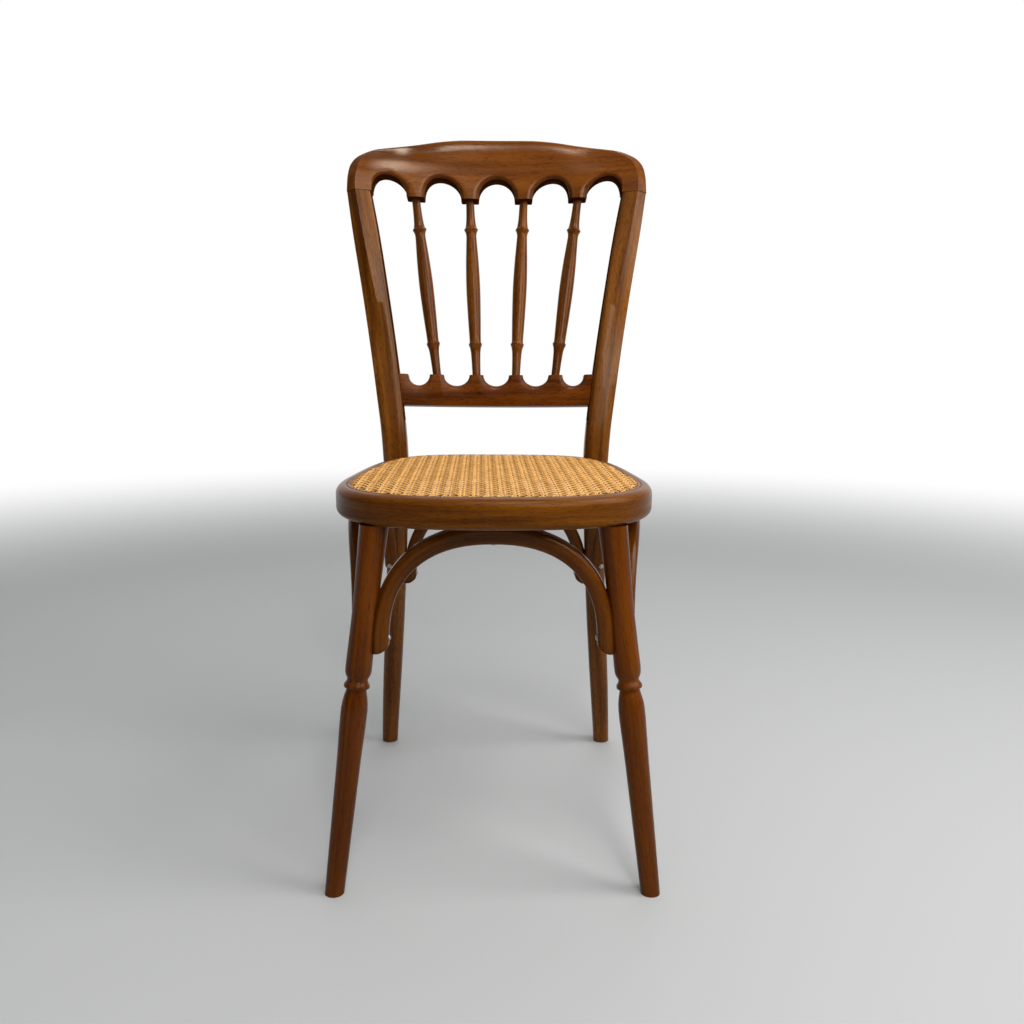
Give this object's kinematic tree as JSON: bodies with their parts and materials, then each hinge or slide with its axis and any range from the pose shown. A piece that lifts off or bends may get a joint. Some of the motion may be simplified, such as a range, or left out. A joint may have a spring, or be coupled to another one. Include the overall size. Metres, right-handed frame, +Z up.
{
  "type": "spindle back chair",
  "caption": "Rigid wooden dining chair: woven cane seat in a bent ring, raked back with turned spindles under a shaped crest rail, turned front legs, arched braces below.",
  "frame": {"origin": "middle of the chair's plan box, on the floor", "axes": "+Z up; the chair faces -Y; +X is to the right of a viewer who stands in front of it, and left and right in the names are that viewer's"},
  "size_m": [0.4356, 0.5214, 0.9121],
  "materials": {
    "stained_beech": "brown stain under satin lacquer",
    "rattan_cane": "natural woven rattan, lightly varnished",
    "bare_beech": "unfinished, inside the joints",
    "zinc_steel": "zinc plated screws and bolts"
  },
  "bodies": {
    "root": {"seat_ring": "stained_beech", "crest_rail": "stained_beech", "lower_rail": "stained_beech", "rear_post_left": "stained_beech", "rear_post_right": "stained_beech", "front_leg_left": "stained_beech", "front_leg_right": "stained_beech", "side_arch_left": "stained_beech", "side_arch_right": "stained_beech", "front_arch": "stained_beech", "back_arch": "stained_beech", "spindle_1": "stained_beech", "spindle_2": "stained_beech", "spindle_3": "stained_beech", "spindle_4": "stained_beech", "cane_panel": "rattan_cane", "cane_binder": "rattan_cane", "crest_dowel_left_inner": "bare_beech", "crest_dowel_left_outer": "bare_beech", "crest_dowel_right_inner": "bare_beech", "crest_dowel_right_outer": "bare_beech", "rail_dowel_left": "bare_beech", "rail_dowel_right": "bare_beech", "post_bolt_left": "zinc_steel", "post_bolt_right": "zinc_steel", "front_arch_screw_left": "zinc_steel", "front_arch_screw_right": "zinc_steel", "back_arch_screw_left": "zinc_steel", "back_arch_screw_right": "zinc_steel", "side_arch_screw_left_front": "zinc_steel", "side_arch_screw_left_rear": "zinc_steel", "side_arch_screw_right_front": "zinc_steel", "side_arch_screw_right_rear": "zinc_steel", "front_arch_top_screw": "zinc_steel", "back_arch_top_screw": "zinc_steel", "side_arch_left_top_screw": "zinc_steel", "side_arch_right_top_screw": "zinc_steel"}
  },
  "joints": []
}
